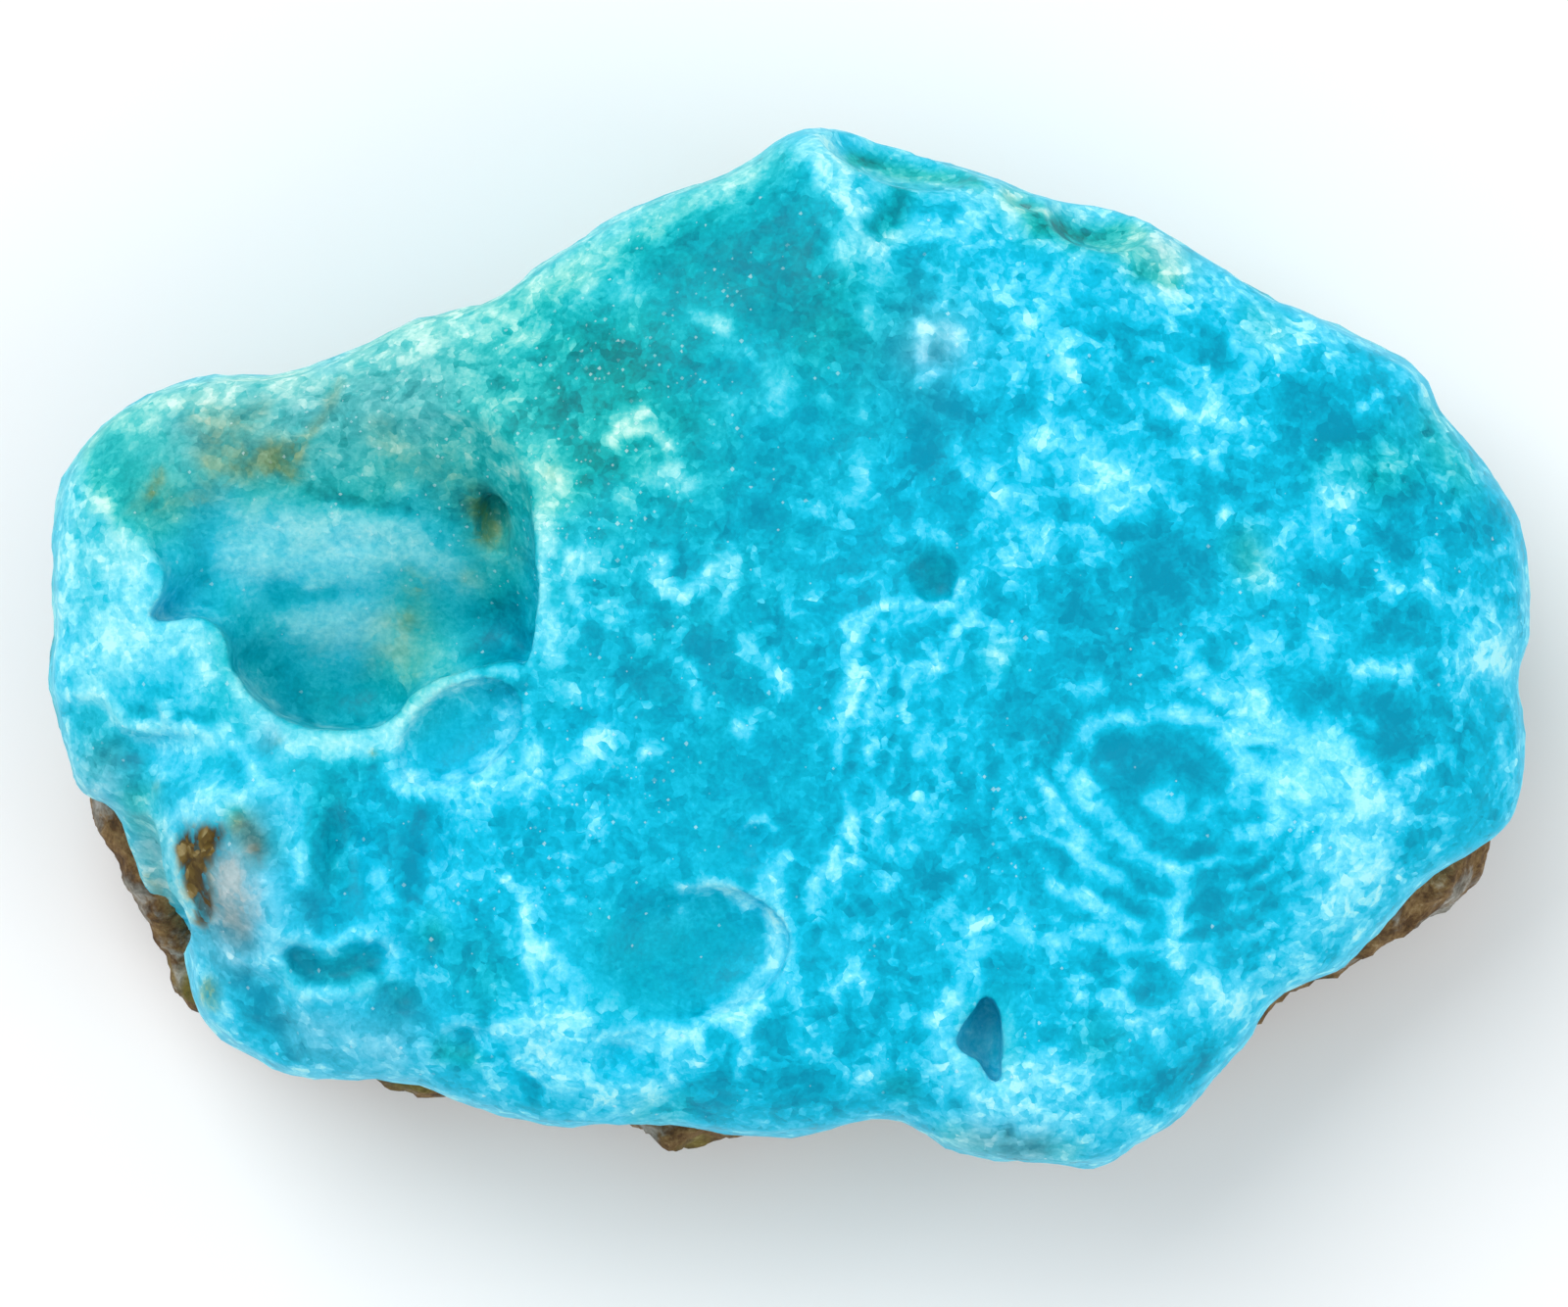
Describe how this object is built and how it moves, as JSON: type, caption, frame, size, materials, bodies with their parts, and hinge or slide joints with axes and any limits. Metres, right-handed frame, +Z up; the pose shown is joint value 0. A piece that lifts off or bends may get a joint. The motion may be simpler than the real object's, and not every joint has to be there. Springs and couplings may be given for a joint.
{
  "type": "blue aragonite",
  "caption": "Flat, worn piece of blue aragonite with a deep hollow at its left end, lying face up on a rind of brown host rock.",
  "frame": {"origin": "on the surface that the stone rests on, under the middle of its outline", "axes": "+X to the right along the stone's length as its face is seen from above, with the big hollow at -X; +Y to its pointed top edge; +Z up out of the face"},
  "size_m": [0.08, 0.0561, 0.0263],
  "materials": {
    "aragonite": "satin, slightly translucent",
    "rock": "rough and dull"
  },
  "bodies": {
    "root": {"blue_aragonite": "aragonite", "host_rock": "rock"}
  },
  "joints": []
}
